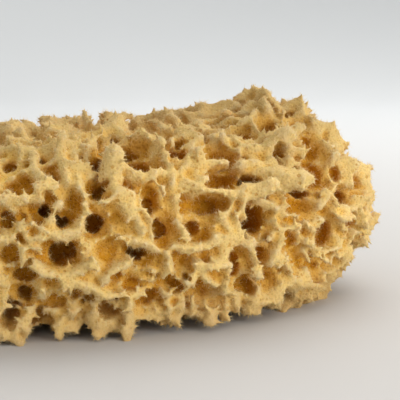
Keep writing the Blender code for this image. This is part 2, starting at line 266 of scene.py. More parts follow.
# Evenly spaced places on the loaf along a run of columns and rows
def alongRun(run, step):
    for (column, row), (nextColumn, nextRow) in zip(run, run[1:]):
        count = max(1, round(math.hypot(nextColumn - column, nextRow - row) * view["columnStep"] / step))
        for part in range(count + 1):
            share = part / count
            yield onLoaf(column + (nextColumn - column) * share, row + (nextRow - row) * share)


def spreadOverLoaf(count, rng):
    faces = list(loafMesh.faces)
    for face in rng.choices(faces, weights=[face.calc_area() for face in faces], k=count):
        a, b = sorted((rng.random(), rng.random()))
        one, two, three = [vertex.co for vertex in face.verts]
        yield one * a + two * (b - a) + three * (1 - b), face.normal.copy()


hollows = {
    # Hollows of the front that show in the photograph: column and row of the middle of the mouth,
    # then across, up and depth in millimetres, and the turn of the mouth in degrees
    "front": [
        (96, 157, 5, 8, 17, 10), (138, 161, 9, 8, 15, 0), (120, 144, 14, 5, 15, 10),
        (45, 209, 4, 5, 14, -30), (62, 220, 4, 5, 13, -30), (95, 223, 6, 6, 15, 12),
        (61, 255, 8, 8, 14, 20), (140, 255, 6, 4.5, 15, 0), (152, 200, 7, 12, 7, -5),
        (164, 228, 8, 13, 6, 0), (197, 230, 5.5, 5.5, 9, 20), (256, 221, 8, 10, 16, 20),
        (224, 177, 13, 8, 12, -12), (252, 180, 8, 4, 12, 12), (209, 204, 14, 7, 9, -5),
        (305, 191, 9, 3.5, 15, 8), (301, 204, 15, 8, 9, 8), (316, 170, 10, 13, 11, -15),
        (314, 146, 8, 9, 9, 20), (345, 197, 6, 4, 8, 0), (327, 234, 7, 7, 7, 0), (262, 257, 5, 5.5, 7, 50),
        (237, 267, 4, 11, 7, -8), (250, 289, 5.5, 5, 9, 30), (267, 279, 6, 4, 8, 20),
        (22, 300, 4, 5.5, 12, 0), (9, 318, 6, 6, 10, 0), (25, 278, 6, 3.5, 8, 0),
        (184, 316, 4.5, 2.5, 9, 0), (184, 262, 3.5, 3.8, 6, 0), (117, 277, 5, 3, 5, 20),
        (48, 136, 8, 3.5, 9, 10), (209, 134, 7, 4, 11, -10), (238, 133, 10, 6, 9, -15),
        (268, 122, 6, 9, 9, 40), (175, 150, 9, 9, 9, -20), (278, 152, 6, 5, 7, 30),
        (137, 131, 3.2, 2.8, 8, 0), (160, 133, 4, 5, 9, 20), (103, 185, 4.5, 3, 11, -20),
        (51, 173, 3.5, 3, 8, 0), (113, 217, 2.2, 2.8, 5, 0), (298, 121, 5, 5, 8, 0),
        (311, 135, 5, 5, 8, 20), (23, 187, 9, 8, 4, 0), (73, 201, 6, 6, 5, 0), (111, 250, 11, 9, 4, 0),
        (289, 241, 7, 7, 4, 0), (55, 305, 6, 5, 4, 0), (222, 153, 13, 7, 9, 25), (85, 141, 4, 3, 5, 0),
        (300, 262, 7, 6, 4, 0), (150, 298, 8, 5, 6, 0), (110, 312, 8, 4, 6, 0), (75, 296, 6, 5, 7, 0),
        (204, 296, 6, 5, 6, 20), (132, 286, 6, 4, 6, -10), (40, 322, 7, 4, 7, 0), (286, 300, 7, 3.5, 6, 0),
        (232, 312, 5, 3, 6, 0), (346, 222, 4, 4.5, 6, 0), (356, 182, 4, 5, 7, 0), (350, 160, 4, 4, 6, 0),
        (318, 268, 5, 5, 6, 20), (334, 262, 4, 4, 6, 0), (355, 238, 3.5, 4, 6, 0), (340, 142, 4, 4, 6, 0),
        (170, 282, 4, 6, 6, 10),
    ],
    # Grooves and valleys: radius and depth of the cut in millimetres, then the columns and rows of its run
    "grooves": [
        (1.1, 4.0, (188, 127), (212, 121), (234, 116), (250, 113)),
        (1.0, 3.5, (194, 120), (218, 113), (246, 106)),
        (1.0, 3.5, (204, 112), (228, 105), (254, 100)),
        (0.8, 3.0, (212, 117), (240, 110)),
        (1.0, 3.5, (262, 100), (276, 108), (282, 118)),
        (1.2, 5.0, (152, 186), (151, 200), (156, 216)),
        (1.4, 5.0, (300, 142), (312, 152), (322, 172), (310, 188)),
        (1.2, 5.0, (284, 196), (300, 192), (318, 188)),
        (1.2, 4.5, (34, 132), (46, 136), (58, 144)),
        (1.1, 4.5, (92, 152), (104, 145), (122, 147), (138, 160)),
        (1.3, 4.0, (208, 144), (222, 152), (232, 160)),
        (1.0, 4.0, (212, 178), (232, 182), (254, 180)),
        (1.0, 3.5, (140, 272), (156, 278), (168, 290)),
        (1.0, 4.0, (232, 250), (236, 270), (242, 288)),
        (1.0, 3.5, (186, 274), (190, 290), (186, 306)),
        (1.0, 4.0, (30, 262), (16, 272), (6, 270)),
        (1.0, 3.5, (34, 292), (52, 296), (70, 292)),
    ],
    "grooveStep": 0.6,  # times its radius
    # Arches between the feet, along the front of the underside: column and row,
    # then width and height in millimetres
    "arches": [
        (41, 334, 10, 4.6), (70, 334, 5, 3.0), (86, 334, 5.5, 5.2), (112, 336, 8, 2.2), (148, 330, 10, 5.2),
        (178, 332, 8, 2.8), (206, 330, 10, 3.2), (240, 326, 10, 3.0), (272, 320, 10, 3.4),
        (300, 312, 10, 3.6), (6, 338, 6, 2.2),
    ],
    "archReach": 40 * mm,
    "archLead": 8 * mm,  # how far in front of the loaf an arch starts
    "shareOfSight": 0.5,  # how far a hollow points along the line of sight and not straight inwards
    "bowlRim": 2.9,  # width of the sloping bowl around each hollow, in millimetres
    "bowlDepth": 0.6,  # its depth as a share of the hollow's
    "bowlDeepest": 6.5,
    "anyTurn": (0, 6.3),  # radians
    "faceOn": -0.2,  # surfaces that face the camera more than this are in the picture
    "raggedness": 0.9 * mm,
    "raggedScale": 2.6 * mm,
    # Hollows where the photograph doesn't look
    "otherTries": 1500,
    "otherGap": 8.5,  # least room between the middles of two mouths, in millimetres
    "otherRadius": (1.5, 3.4),
    "otherDepth": (5, 13),
    "otherSqueeze": (0.6, 1),
    "otherLean": 0.4,
    "otherLowest": -0.6,  # none where the surface faces further down than this
    "otherSeed": 23,
    # Small hollows all over
    "smallCount": 2300,
    "smallRadius": (0.5, 2.2),
    "smallStretch": (0.8, 1.3),
    "smallDepth": (1.0, 2.2),  # times its radius
    "smallSink": (-0.5, 3.5),  # how far below the loaf its middle lies, in millimetres
    "smallLean": 0.4,
    "keptInPicture": 0.55,  # the front's own hollows leave less room for small ones
    "roomToRidges": 0.1,  # millimetres that a small hollow keeps from the ridges of the front
    # Long smooth strata of the hump, with no small hollow or spike
    "calm": [(212, 115), (240, 109), (226, 101)],
    "calmReach": 10 * mm,
    # Broad forms with only spikes and pores on them
    "smooth": [(255, 148), (285, 168), (226, 158), (70, 165), (114, 170), (196, 168), (100, 240), (318, 160)],
    "smoothReach": 7 * mm,
    "seed": 7,
    # Small hollows cut straight into the feet and the lower edge of the front
    "lowerCount": 110,
    "lowerColumns": (0, 320),
    "lowerRows": (300, 340),
    "lowerRadius": (0.6, 2.1),
    "lowerStretch": (0.8, 1.5),
    "lowerDepth": (1.2, 2.4),  # times its radius
}


def mouthMatrix(place, inward, reference, turn, sizes):
    across = (reference - inward * reference.dot(inward)).normalized()
    axes = Matrix((across, inward.cross(across), inward)).transposed().to_4x4()
    return Matrix.Translation(place) @ axes @ Matrix.Rotation(turn, 4, "Z") @ Matrix.Diagonal((*sizes, 1))


def inwardFrom(sight, normal):
    return (sight * hollows["shareOfSight"] - normal * (1 - hollows["shareOfSight"])).normalized()


# Either the deep hearts of the hollows or the wide bowls around them
def bowlSizes(across, up, depth, bowls):
    rim = hollows["bowlRim"] if bowls else 0
    deep = min(depth * hollows["bowlDepth"], hollows["bowlDeepest"]) if bowls else depth
    return (across + rim) * mm, (up + rim) * mm, deep * mm


def frontHollows(bowls):
    right, _, _ = viewAxes()
    for column, row, across, up, depth, turn in hollows["front"]:
        place, normal, sight = onLoaf(column, row)
        sizes = bowlSizes(across / 2, up / 2, depth, bowls)
        yield mouthMatrix(place, inwardFrom(sight, normal), right, math.radians(turn), sizes)


def inPicture(place, normal):
    right, _, forward = viewAxes()
    aside = (place - view["lookAt"]).dot(right) / view["columnStep"]
    return normal.dot(forward) < hollows["faceOn"] and aside > -view["middle"]


def otherHollows(bowls):
    rng = random.Random(hollows["otherSeed"])
    taken = []
    for place, normal in spreadOverLoaf(hollows["otherTries"], rng):
        radius, depth = rng.uniform(*hollows["otherRadius"]), rng.uniform(*hollows["otherDepth"])
        turn, squeeze = rng.uniform(*hollows["anyTurn"]), rng.uniform(*hollows["otherSqueeze"])
        inward = (anyDirection(rng, hollows["otherLean"]) - normal).normalized()
        crowded = any((place - spot).length < hollows["otherGap"] * mm for spot in taken)
        if crowded or inPicture(place, normal) or normal.z < hollows["otherLowest"]:
            continue
        taken.append(place)
        sizes = bowlSizes(radius, radius * squeeze, depth, bowls)
        yield mouthMatrix(place, inward, inward.orthogonal(), turn, sizes)


def grooveCuts():
    right, _, _ = viewAxes()
    for radius, depth, *run in hollows["grooves"]:
        for place, normal, sight in alongRun(run, radius * hollows["grooveStep"] * mm):
            sizes = (radius * mm, radius * mm, depth * mm)
            yield mouthMatrix(place, inwardFrom(sight, normal), right, 0, sizes)


def archCuts():
    right, _, _ = viewAxes()
    for column, row, width, height in hollows["arches"]:
        place, _, sight = onLoaf(column, row)
        inward = Vector((sight.x, sight.y, 0)).normalized()
        place = Vector((place.x, place.y, 0)) - inward * hollows["archLead"]
        yield mouthMatrix(place, inward, right, 0, (width / 2 * mm, height * mm, hollows["archReach"]))


def isNear(place, kind):
    return any((onLoaf(*spot)[0] - place).length < hollows[kind + "Reach"] for spot in hollows[kind])


def smallHollows():
    rng = random.Random(hollows["seed"])
    spots = list(ridgeSpots())
    ridges = KDTree(len(spots))
    for index, (place, _, _, _) in enumerate(spots):
        ridges.insert(place, index)
    ridges.balance()
    for place, normal in spreadOverLoaf(hollows["smallCount"], rng):
        radius = between(hollows["smallRadius"], rng.random() ** 2) * mm
        inward = (anyDirection(rng, hollows["smallLean"]) - normal).normalized()
        stretch, depth = rng.uniform(*hollows["smallStretch"]), rng.uniform(*hollows["smallDepth"])
        place = place + inward * rng.uniform(*hollows["smallSink"]) * mm
        _, nearest, gap = ridges.find(place)
        crowded = gap < radius + (spots[nearest][2] + hollows["roomToRidges"]) * mm
        left = rng.random() < hollows["keptInPicture"] or not inPicture(place, normal)
        if crowded or not left or isNear(place, "calm") or isNear(place, "smooth"):
            continue
        turn = rng.uniform(*hollows["anyTurn"])
        sizes = (radius * stretch, radius, radius * depth)
        yield mouthMatrix(place, inward, inward.orthogonal(), turn, sizes)


def lowerHollows(thing):
    rng = random.Random(hollows["seed"])
    bm = bmesh.new()
    bm.from_mesh(thing.data)
    skin = BVHTree.FromBMesh(bm)
    bm.free()
    for _ in range(hollows["lowerCount"]):
        eye, sight = sightLine(rng.uniform(*hollows["lowerColumns"]), rng.uniform(*hollows["lowerRows"]))
        radius, turn = rng.uniform(*hollows["lowerRadius"]) * mm, rng.uniform(*hollows["anyTurn"])
        stretch, depth = rng.uniform(*hollows["lowerStretch"]), rng.uniform(*hollows["lowerDepth"])
        place, normal, _, _ = skin.ray_cast(eye, sight)
        if place:
            inward = (sight - normal).normalized()
            sizes = (radius * stretch, radius, radius * depth)
            yield mouthMatrix(place, inward, inward.orthogonal(), turn, sizes)


def carve(thing, large, small):
    ball, smallBall = addBall(4), addBall(2)
    cutter = stamp("cutter", ball, large)
    if small:
        joinAll(cutter, [stamp("smallCutter", smallBall, small)])
    roughen(cutter, "ragged", hollows["raggedScale"], hollows["raggedness"])
    remesh(cutter, form["cutterVoxel"])
    applyStep(thing, "BOOLEAN", object=cutter, operation="DIFFERENCE", solver="MANIFOLD")
    drop(ball, smallBall, cutter)


pegs = {
    # Pegs of the front: column and row of the root, then of the tip, and both radii in millimetres
    "front": [
        (112, 188, 113, 153, 3.0, 2.3), (60, 162, 62, 136, 2.6, 0.7), (86, 160, 95, 142, 1.8, 0.5),
        (49, 226, 59, 204, 2.2, 1.2), (203, 172, 199, 150, 3.4, 1.0), (208, 168, 227, 163, 2.4, 0.6),
        (234, 198, 271, 184, 2.8, 2.2), (250, 168, 303, 179, 2.2, 3.0), (262, 152, 286, 134, 2.8, 2.0),
        (150, 186, 155, 174, 1.6, 0.5), (157, 212, 160, 190, 2.4, 0.8), (261, 310, 258, 294, 2.2, 1.5),
        (180, 162, 160, 140, 2.0, 1.0), (232, 150, 223, 134, 2.2, 0.9), (306, 250, 300, 226, 2.0, 0.9),
    ],
    "pegSunk": 0.8,  # how deep a peg's root lies, times its radius
    "pegRoot": 3,  # millimetres that its root goes further in
    "tipSunk": 0.3,
    # Feet along the front edge: column and row where each meets the floor,
    # then its radius above and at the floor in millimetres
    "feet": [
        (4, 341, 5, 3), (19, 342, 5, 2.5), (58, 342, 4.5, 1.0), (72, 338, 4, 1.2), (99, 338, 5, 2.5),
        (122, 337, 5, 2.5), (166, 333, 4.5, 1.2), (186, 331, 5, 2.5), (208, 330, 5, 2.2),
        (232, 327, 4.5, 2), (254, 321, 4.5, 2), (276, 315, 4, 1.6), (296, 307, 4, 1.2),
    ],
    "footRise": 26,  # rows from the floor to where a foot grows out of the loaf
    "footSunk": 0.7,
    "footTip": 0.5,  # height of the middle of a foot's tip, times its radius
    # Ridges between the hollows: radius and height of the middle line over the loaf in millimetres,
    # then the columns and rows of the run
    "ridges": [
        (1.3, 0.2, (180, 129), (200, 131), (212, 139), (223, 134), (234, 140), (247, 143), (262, 139),
         (278, 132)),
        (1.4, 0.2, (256, 112), (250, 120), (255, 130), (262, 138)),
        (2.2, -0.4, (243, 149), (262, 151)),
        (1.5, 0.2, (240, 146), (236, 156), (241, 166)),
        (1.7, 0.6, (241, 167), (262, 166), (282, 171), (298, 178)),
        (1.7, 0.6, (286, 160), (294, 166), (302, 176)),
        (1.6, 0.3, (284, 140), (289, 150), (300, 152), (306, 160)),
        (1.6, 0.2, (212, 193), (232, 195), (245, 191), (262, 184), (270, 187)),
        (1.7, 0.2, (178, 176), (186, 166), (192, 153)),
        (1.5, 0.2, (190, 163), (208, 165), (224, 164)),
        (1.7, 0.0, (180, 186), (196, 190), (214, 193)),
        (1.8, 0.0, (232, 197), (228, 208), (222, 220), (232, 232)),
        (1.5, 0.2, (246, 193), (240, 204), (243, 216)),
        (1.3, 0.2, (258, 200), (272, 206), (284, 215)),
        (1.3, 0.2, (284, 215), (303, 213), (318, 208), (326, 196), (318, 184)),
        (1.3, 0.2, (330, 193), (334, 208), (350, 209), (364, 203)),
        (1.5, 0.1, (274, 222), (280, 232), (276, 248), (270, 262)),
        (1.3, 0.2, (304, 222), (312, 232), (310, 246), (322, 252), (338, 246), (344, 232), (338, 220)),
        (1.5, 0.1, (0, 152), (24, 150), (34, 158), (34, 170), (42, 182), (38, 196)),
        (2.0, 0.2, (62, 140), (64, 160), (68, 184)),
        (1.8, 0.1, (74, 160), (78, 186), (84, 200)),
        (1.0, 0.4, (74, 140), (85, 151), (94, 142)),
        (1.3, 0.3, (122, 166), (131, 176), (145, 179), (153, 175)),
        (1.5, 0.1, (150, 182), (144, 194), (140, 206), (150, 222), (152, 236)),
        (1.7, 0.2, (140, 138), (152, 142), (164, 160), (171, 172), (172, 186)),
        (2.0, -0.2, (116, 192), (130, 196), (134, 214), (140, 230)),
        (1.7, 0.0, (44, 232), (62, 236), (76, 232), (86, 212), (84, 196)),
        (1.5, 0.2, (158, 190), (160, 204), (168, 218), (180, 226), (186, 240)),
        (1.8, 0.0, (20, 225), (30, 240), (44, 236)),
        (1.5, 0.2, (30, 262), (45, 272), (60, 276), (84, 270)),
        (1.8, 0.0, (120, 238), (140, 241), (157, 249)),
        (1.6, 0.2, (70, 280), (86, 284), (100, 290)),
        (1.5, 0.2, (104, 279), (112, 270), (128, 263)),
        (1.6, 0.3, (166, 262), (172, 276), (166, 292)),
        (1.5, 0.1, (168, 246), (186, 248), (204, 246), (218, 240)),
        (1.6, 0.2, (198, 264), (204, 278), (216, 284)),
        (1.5, 0.1, (222, 250), (226, 270), (222, 292)),
        (1.5, 0.1, (250, 240), (254, 262), (258, 276)),
        (1.4, 0.2, (8, 192), (18, 204), (34, 197)),
        (1.8, 0.6, (51, 122), (58, 121)),
        (1.4, 0.1, (284, 262), (292, 280), (306, 288)),
        (1.3, 0.2, (330, 262), (344, 250), (352, 232)),
        # broad low plateaus
        (2.9, -1.4, (186, 166), (196, 170)), (2.8, -1.3, (250, 149), (260, 150)),
        (3.0, -1.6, (122, 200), (130, 212)), (2.5, -0.9, (288, 168), (300, 172)),
        (2.6, -1.2, (72, 150), (72, 178)), (2.2, -1.0, (232, 206), (228, 222)),
        (2.6, -1.2, (72, 284), (88, 288)), (2.0, -0.8, (166, 272), (170, 286)),
        (2.2, -1.0, (206, 276), (214, 284)), (2.3, -0.8, (108, 160), (116, 158), (114, 180)),
        (1.6, -0.8, (298, 142), (304, 150)), (2.4, -0.9, (166, 254), (171, 280), (164, 297)),
        (2.2, -1.0, (120, 291), (148, 297)),
    ],
    "ridgeStep": 0.5,  # times its radius
    "ridgeTop": 1.1,  # how far a ridge stands over the loaf, times its radius
    "wallDepth": 8,
}


def pegMatrix(root, tip):
    along = tip - root
    return Matrix.Translation((root + tip) / 2) @ along.to_track_quat("Z", "Y").to_matrix().to_4x4()


def makePeg(root, tip, rootRadius, tipRadius):
    length = (tip - root).length
    bpy.ops.mesh.primitive_cone_add(vertices=12, radius1=rootRadius, radius2=tipRadius, depth=length)
    made = bpy.context.object
    made.data.transform(pegMatrix(root, tip))
    bpy.ops.mesh.primitive_ico_sphere_add(subdivisions=2, radius=tipRadius, location=tip)
    bpy.ops.object.transform_apply(location=True)
    joinAll(made, [bpy.context.object])
    return made


def frontPegs():
    for column, row, tipColumn, tipRow, rootRadius, tipRadius in pegs["front"]:
        foot, normal, _ = onLoaf(column, row)
        eye, sight = sightLine(tipColumn, tipRow)
        tip = eye + sight * (foot - eye).length
        foot = foot - normal * rootRadius * pegs["pegSunk"] * mm
        root = foot - (tip - foot).normalized() * pegs["pegRoot"] * mm
        tip = tip - normal * tipRadius * pegs["tipSunk"] * mm
        yield makePeg(root, tip, rootRadius * mm, tipRadius * mm)


def frontFeet():
    for column, row, rootRadius, tipRadius in pegs["feet"]:
        eye, sight = sightLine(column, row)
        tip = eye + sight * (tipRadius * pegs["footTip"] * mm - eye.z) / sight.z
        spot, normal, _ = onLoaf(column, row - pegs["footRise"])
        root = spot - normal * rootRadius * pegs["footSunk"] * mm
        yield makePeg(root, tip, rootRadius * mm, tipRadius * mm)


def ridgeSpots():
    for radius, lift, *run in pegs["ridges"]:
        for place, normal, _ in alongRun(run, radius * pegs["ridgeStep"] * mm):
            yield place, normal, radius, lift


# A ridge is a wall that goes down to the floor of the bowls
def ridgeBeads():
    right, _, _ = viewAxes()
    for place, normal, radius, lift in ridgeSpots():
        top, half = lift + radius * pegs["ridgeTop"], (radius + pegs["wallDepth"]) / 2
        middle = place + normal * (top - half) * mm
        yield mouthMatrix(middle, -normal, right, 0, (radius * mm, radius * mm, half * mm))


# How far each point stands out of its surroundings, measured square to the surface
def standOut(thing, rounds):
    wide = addObject("wide", thing.data.copy())
    smooth(wide, rounds)
    out = ((vertexPlaces(thing) - vertexPlaces(wide)) * vertexNormals(thing)).sum(1)
    drop(wide)
    return out


# Small pointed tips that stand on the ridges, in millimetres
spikes = {
    "surroundings": 25,  # rounds of smoothing that tell a tip from its surroundings
    "least": 0.18,  # how far a spot stands out of its surroundings before it may carry a spike
    "shuffle": 0.5,  # how far the order of the spots is mixed up
    "spacing": (1.3, 3.8),
    "length": (0.5, 2.8),
    "radius": (0.5, 1.0),
    "tipWidth": 0.2,  # times the radius
    "sides": 5,
    "lean": 0.55,
    "sunk": 0.8,  # how deep its root lies
    "lowest": 2,  # none stands lower than this over the floor
    "seed": 11,
}


def addSpikes(thing):
    rng = random.Random(spikes["seed"])
    places, normals = vertexPlaces(thing), vertexNormals(thing)
    rise = standOut(thing, spikes["surroundings"]) / mm
    likely = np.nonzero(rise > spikes["least"])[0].tolist()
    order = sorted(likely, key=lambda i: -rise[i] + rng.uniform(0, spikes["shuffle"]))
    cells, matrices = {}, []
    room = spikes["spacing"][1]
    bpy.ops.mesh.primitive_cone_add(vertices=spikes["sides"], radius1=1, radius2=spikes["tipWidth"], depth=1)
    shape = bpy.context.object
    applyStep(shape, "TRIANGULATE")
    for index in order:
        x, y, z = places[index] / mm
        key = (int(x // room), int(y // room), int(z // room))
        near = [spot for i in (-1, 0, 1) for j in (-1, 0, 1) for k in (-1, 0, 1)
                for spot in cells.get((key[0] + i, key[1] + j, key[2] + k), ())]
        gap = rng.uniform(*spikes["spacing"])
        crowded = any((x - a) ** 2 + (y - b) ** 2 + (z - c) ** 2 < gap * gap for a, b, c in near)
        place, normal = Vector(places[index]), Vector(normals[index])
        if crowded or z < spikes["lowest"] or isNear(place, "calm"):
            continue
        cells.setdefault(key, []).append((x, y, z))
        lean = anyDirection(rng, spikes["lean"])
        length = between(spikes["length"], rng.random() ** 2) * mm
        radius = rng.uniform(*spikes["radius"]) * mm
        tip, root = place + (normal + lean).normalized() * length, place - normal * spikes["sunk"] * mm
        matrices.append(pegMatrix(root, tip) @ Matrix.Diagonal((radius, radius, (tip - root).length, 1)))
    joinAll(thing, [stamp("spikes", shape, matrices)])
    drop(shape)
    print("spikes added", len(matrices))


form = {
    "mergeWithin": 0.001 * mm,
    "cutterVoxel": 0.5 * mm,
    "voxel": 0.5 * mm,
    "softening": 9,  # rounds of smoothing over the bowls and walls
    "fusing": 3,  # over the hollows
    "lastSoftening": 1,  # over the spikes
    "reliefWidth": 130,  # rounds of smoothing that tell a ridge from its surroundings
    "reliefGain": 0.8,
    "reliefRise": 1.0 * mm,  # the most that a ridge rises, and a bowl sinks
    "reliefSink": 2.0 * mm,
    "swellScale": 9 * mm,
    "swellStrength": 2.2 * mm,
    "lumpScale": 3.2 * mm,
    "lumpStrength": 1.1 * mm,
    "crustScale": 1.7 * mm,
    "crustStrength": 0.42 * mm,
    "tipRoom": 1.0 * mm,  # how far tips pass the solid's box before they are pressed in
    "pressed": 0.7,  # share of that reach which is taken away
    "triangles": 197000,
    "rimWidth": 12,  # rounds of smoothing that tell a rim from its surroundings, for the colours, which paint a highlight on the rims and shade in the hollows, and for the fibres
}


def raiseRelief(thing):
    rise = standOut(thing, form["reliefWidth"]) * form["reliefGain"]
    rise = np.clip(rise, -form["reliefSink"], form["reliefRise"])
    moveVertices(thing, vertexPlaces(thing) + vertexNormals(thing) * rise[:, None])


def keepLargest(thing):
    bm = bmesh.new()
    bm.from_mesh(thing.data)
    left, largest = set(bm.verts), set()
    while left:
        body, edge = set(), {left.pop()}
        while edge:
            vertex = edge.pop()
            body.add(vertex)
            edge |= {e.other_vert(vertex) for e in vertex.link_edges} - body
        left -= body
        if len(body) > len(largest):
            largest = body
    bmesh.ops.delete(bm, geom=[vertex for vertex in bm.verts if vertex not in largest], context="VERTS")
    bm.to_mesh(thing.data)
    bm.free()


# Nothing sinks into the floor, and the tips that stand out furthest are pressed in a little
def keepInRoom(thing):
    places = vertexPlaces(thing)
    low, high = (np.array(corner, np.float32) for corner in cadBox)
    over = np.maximum(places - high - form["tipRoom"], 0)
    under = np.maximum(low - form["tipRoom"] - places, 0)
    places += (under - over) * form["pressed"]
    places[:, 2] = np.maximum(places[:, 2], 0)
    moveVertices(thing, places)


# How deep each point lies below the loaf, in millimetres; the colour darkens with it as painted shade in the
# hollows
def depthBelowLoaf(thing):
    depth = np.empty(len(thing.data.vertices))
    for index, vertex in enumerate(thing.data.vertices):
        found, normal, _, _ = loafTree.find_nearest(vertex.co)
        depth[index] = (found - vertex.co).dot(normal) / mm
    return depth


def copyOfSolid():
    copy = addObject("spongeBody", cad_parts["sponge"].data.copy())
    pick(copy)
    bpy.ops.object.mode_set(mode="EDIT")
    bpy.ops.mesh.select_all(action="SELECT")
    bpy.ops.mesh.remove_doubles(threshold=form["mergeWithin"])
    bpy.ops.object.mode_set(mode="OBJECT")
    return copy


def addWalls(thing):
    bead = addBall(2)
    joinAll(thing, [*frontPegs(), *frontFeet(), stamp("ridges", bead, list(ridgeBeads()))])
    drop(bead)


def tell(stage, thing):
    print(stage, len(thing.data.polygons), "faces after", round(time.time() - started), "s")


def makeSponge():
    body = copyOfSolid()
    carve(body, [*frontHollows(True), *otherHollows(True)], [])
    tell("bowls cut", body)
    addWalls(body)
    remesh(body, form["voxel"])
    smooth(body, form["softening"])
    raiseRelief(body)
    tell("relief raised", body)
    roughen(body, "swells", form["swellScale"], form["swellStrength"])
    fine = [*smallHollows(), *grooveCuts(), *lowerHollows(body)]
    carve(body, [*frontHollows(False), *otherHollows(False), *archCuts()], fine)
    tell("hollows cut", body)
    remesh(body, form["voxel"])
    smooth(body, form["fusing"])
    roughen(body, "lumps", form["lumpScale"], form["lumpStrength"])
    addSpikes(body)
    remesh(body, form["voxel"])
    keepLargest(body)
    smooth(body, form["lastSoftening"])
    roughen(body, "crust", form["crustScale"], form["crustStrength"])
    keepInRoom(body)
    applyStep(body, "TRIANGULATE")
    applyStep(body, "DECIMATE", ratio=form["triangles"] / len(body.data.polygons))
    body.data.shade_smooth()
    # rise and depth drive the painted highlight on the rims and the painted shade in the hollows; rise also
    # places the fibres
    addAttribute(body, "rise", standOut(body, form["rimWidth"]) / mm)
    addAttribute(body, "depth", depthBelowLoaf(body))
    tell("sponge finished", body)
    return body


sponge = makeSponge()


# Fine fibres that stand on the skeleton, most of them on its ridges and tips, in millimetres
fibres = {
    "pieces": 4,
    "perPiece": 48000,
    "length": (0.4, 2.1),
    "radius": (0.045, 0.075),
    "lean": 0.75,
    "sunk": 0.15,
    "lowest": 0.05,
    "onFlat": 0.25,  # share of fibres where the surface is flat
    "onRidges": 1.6,  # how much it grows with each millimetre that a spot stands out
    "shareLimits": (0.12, 2.5),
    "seed": 3,
}


# Each fibre is a thin three-sided spire
def fibrePoints(foot, along, length, radius, rng):
    side = np.cross(along, rng.uniform(-1, 1, foot.shape))
    side /= np.linalg.norm(side, axis=1, keepdims=True)
    other = np.cross(along, side)
    foot = foot - along * fibres["sunk"] * mm
    return np.stack([foot + side * radius, foot + (other * 0.87 - side * 0.5) * radius,
                     foot - (other * 0.87 + side * 0.5) * radius, foot + along * length], axis=1)


def makeFibres():
    mesh = sponge.data
    mesh.calc_loop_triangles()
    corners = np.empty(len(mesh.loop_triangles) * 3, np.int32)
    mesh.loop_triangles.foreach_get("vertices", corners)
    corners = corners.reshape(-1, 3)
    places, normals = vertexPlaces(sponge), vertexNormals(sponge)
    rise = np.empty(len(places), np.float32)
    mesh.attributes["rise"].data.foreach_get("value", rise)
    a, b, c = (places[corners[:, i]] for i in range(3))
    area = np.linalg.norm(np.cross(b - a, c - a), axis=1)
    ridge = rise[corners].mean(1)
    chance = area * np.clip(fibres["onFlat"] + ridge * fibres["onRidges"], *fibres["shareLimits"])
    rng = np.random.default_rng(fibres["seed"])
    made = []
    for part in range(fibres["pieces"]):
        picked = rng.choice(len(corners), fibres["perPiece"], p=chance / chance.sum())
        u, v = np.sort(rng.random((2, len(picked), 1)), axis=0)
        foot = a[picked] * u + b[picked] * (v - u) + c[picked] * (1 - v)
        along = normals[corners[picked]].mean(1) + rng.uniform(-1, 1, (len(picked), 3)) * fibres["lean"]
        along /= np.linalg.norm(along, axis=1, keepdims=True)
        length = between(fibres["length"], rng.random((len(picked), 1)) ** 3) * mm
        radius = rng.uniform(*fibres["radius"], (len(picked), 1)) * mm
        points = fibrePoints(foot, along, length, radius, rng)
        points = points[points[..., 2].min(1) > fibres["lowest"] * mm]
        spire = np.array([(0, 2, 1), (0, 1, 3), (1, 2, 3), (2, 0, 3)])
        faces = spire[None] + (np.arange(len(points)) * 4)[:, None, None]
        name = f"fibres{part + 1}"
        fibreMesh = bpy.data.meshes.new(name)
        fibreMesh.from_pydata(points.reshape(-1, 3).tolist(), [], faces.reshape(-1, 3).tolist())
        made.append(addObject(name, fibreMesh))
    return made


fibrePieces = makeFibres()
print("fibres made after", round(time.time() - started), "s")


# Wraps a socket, so that shader maths reads as an expression
class Value:
    def __init__(self, tree, socket):
        self.tree = tree
        self.socket = socket

    def math(self, operation, other, swapped=False):
        node = self.tree.nodes.new("ShaderNodeMath")
        node.operation = operation
        for place, item in enumerate((other, self) if swapped else (self, other)):
            if isinstance(item, Value):
                self.tree.links.new(item.socket, node.inputs[place])
            else:
                node.inputs[place].default_value = item
        return Value(self.tree, node.outputs[0])

    def __add__(self, other):
        return self.math("ADD", other)

    def __mul__(self, other):
        return self.math("MULTIPLY", other)

    def __sub__(self, other):
        return self.math("SUBTRACT", other)

    def __rsub__(self, other):
        return self.math("SUBTRACT", other, True)

    __radd__ = __add__
    __rmul__ = __mul__

    def clamped(self):
        return self.math("MAXIMUM", 0).math("MINIMUM", 1)


class Finish:
    def __init__(self, name):
        self.material = bpy.data.materials.new(name)
        self.material.use_nodes = True
        self.tree = self.material.node_tree
        self.shader = self.tree.nodes["Principled BSDF"]

    def node(self, kind, settings=None, inputs=None, output=0):
        made = self.tree.nodes.new(kind)
        for name, value in (settings or {}).items():
            setattr(made, name, value)
        for name, value in (inputs or {}).items():
            self.put(made.inputs[name], value)
        return Value(self.tree, made.outputs[output])

    def put(self, socket, value):
        if isinstance(value, Value):
            self.tree.links.new(value.socket, socket)
        else:
            socket.default_value = value

    def set(self, values):
        for name, value in values.items():
            self.put(self.shader.inputs[name], value)


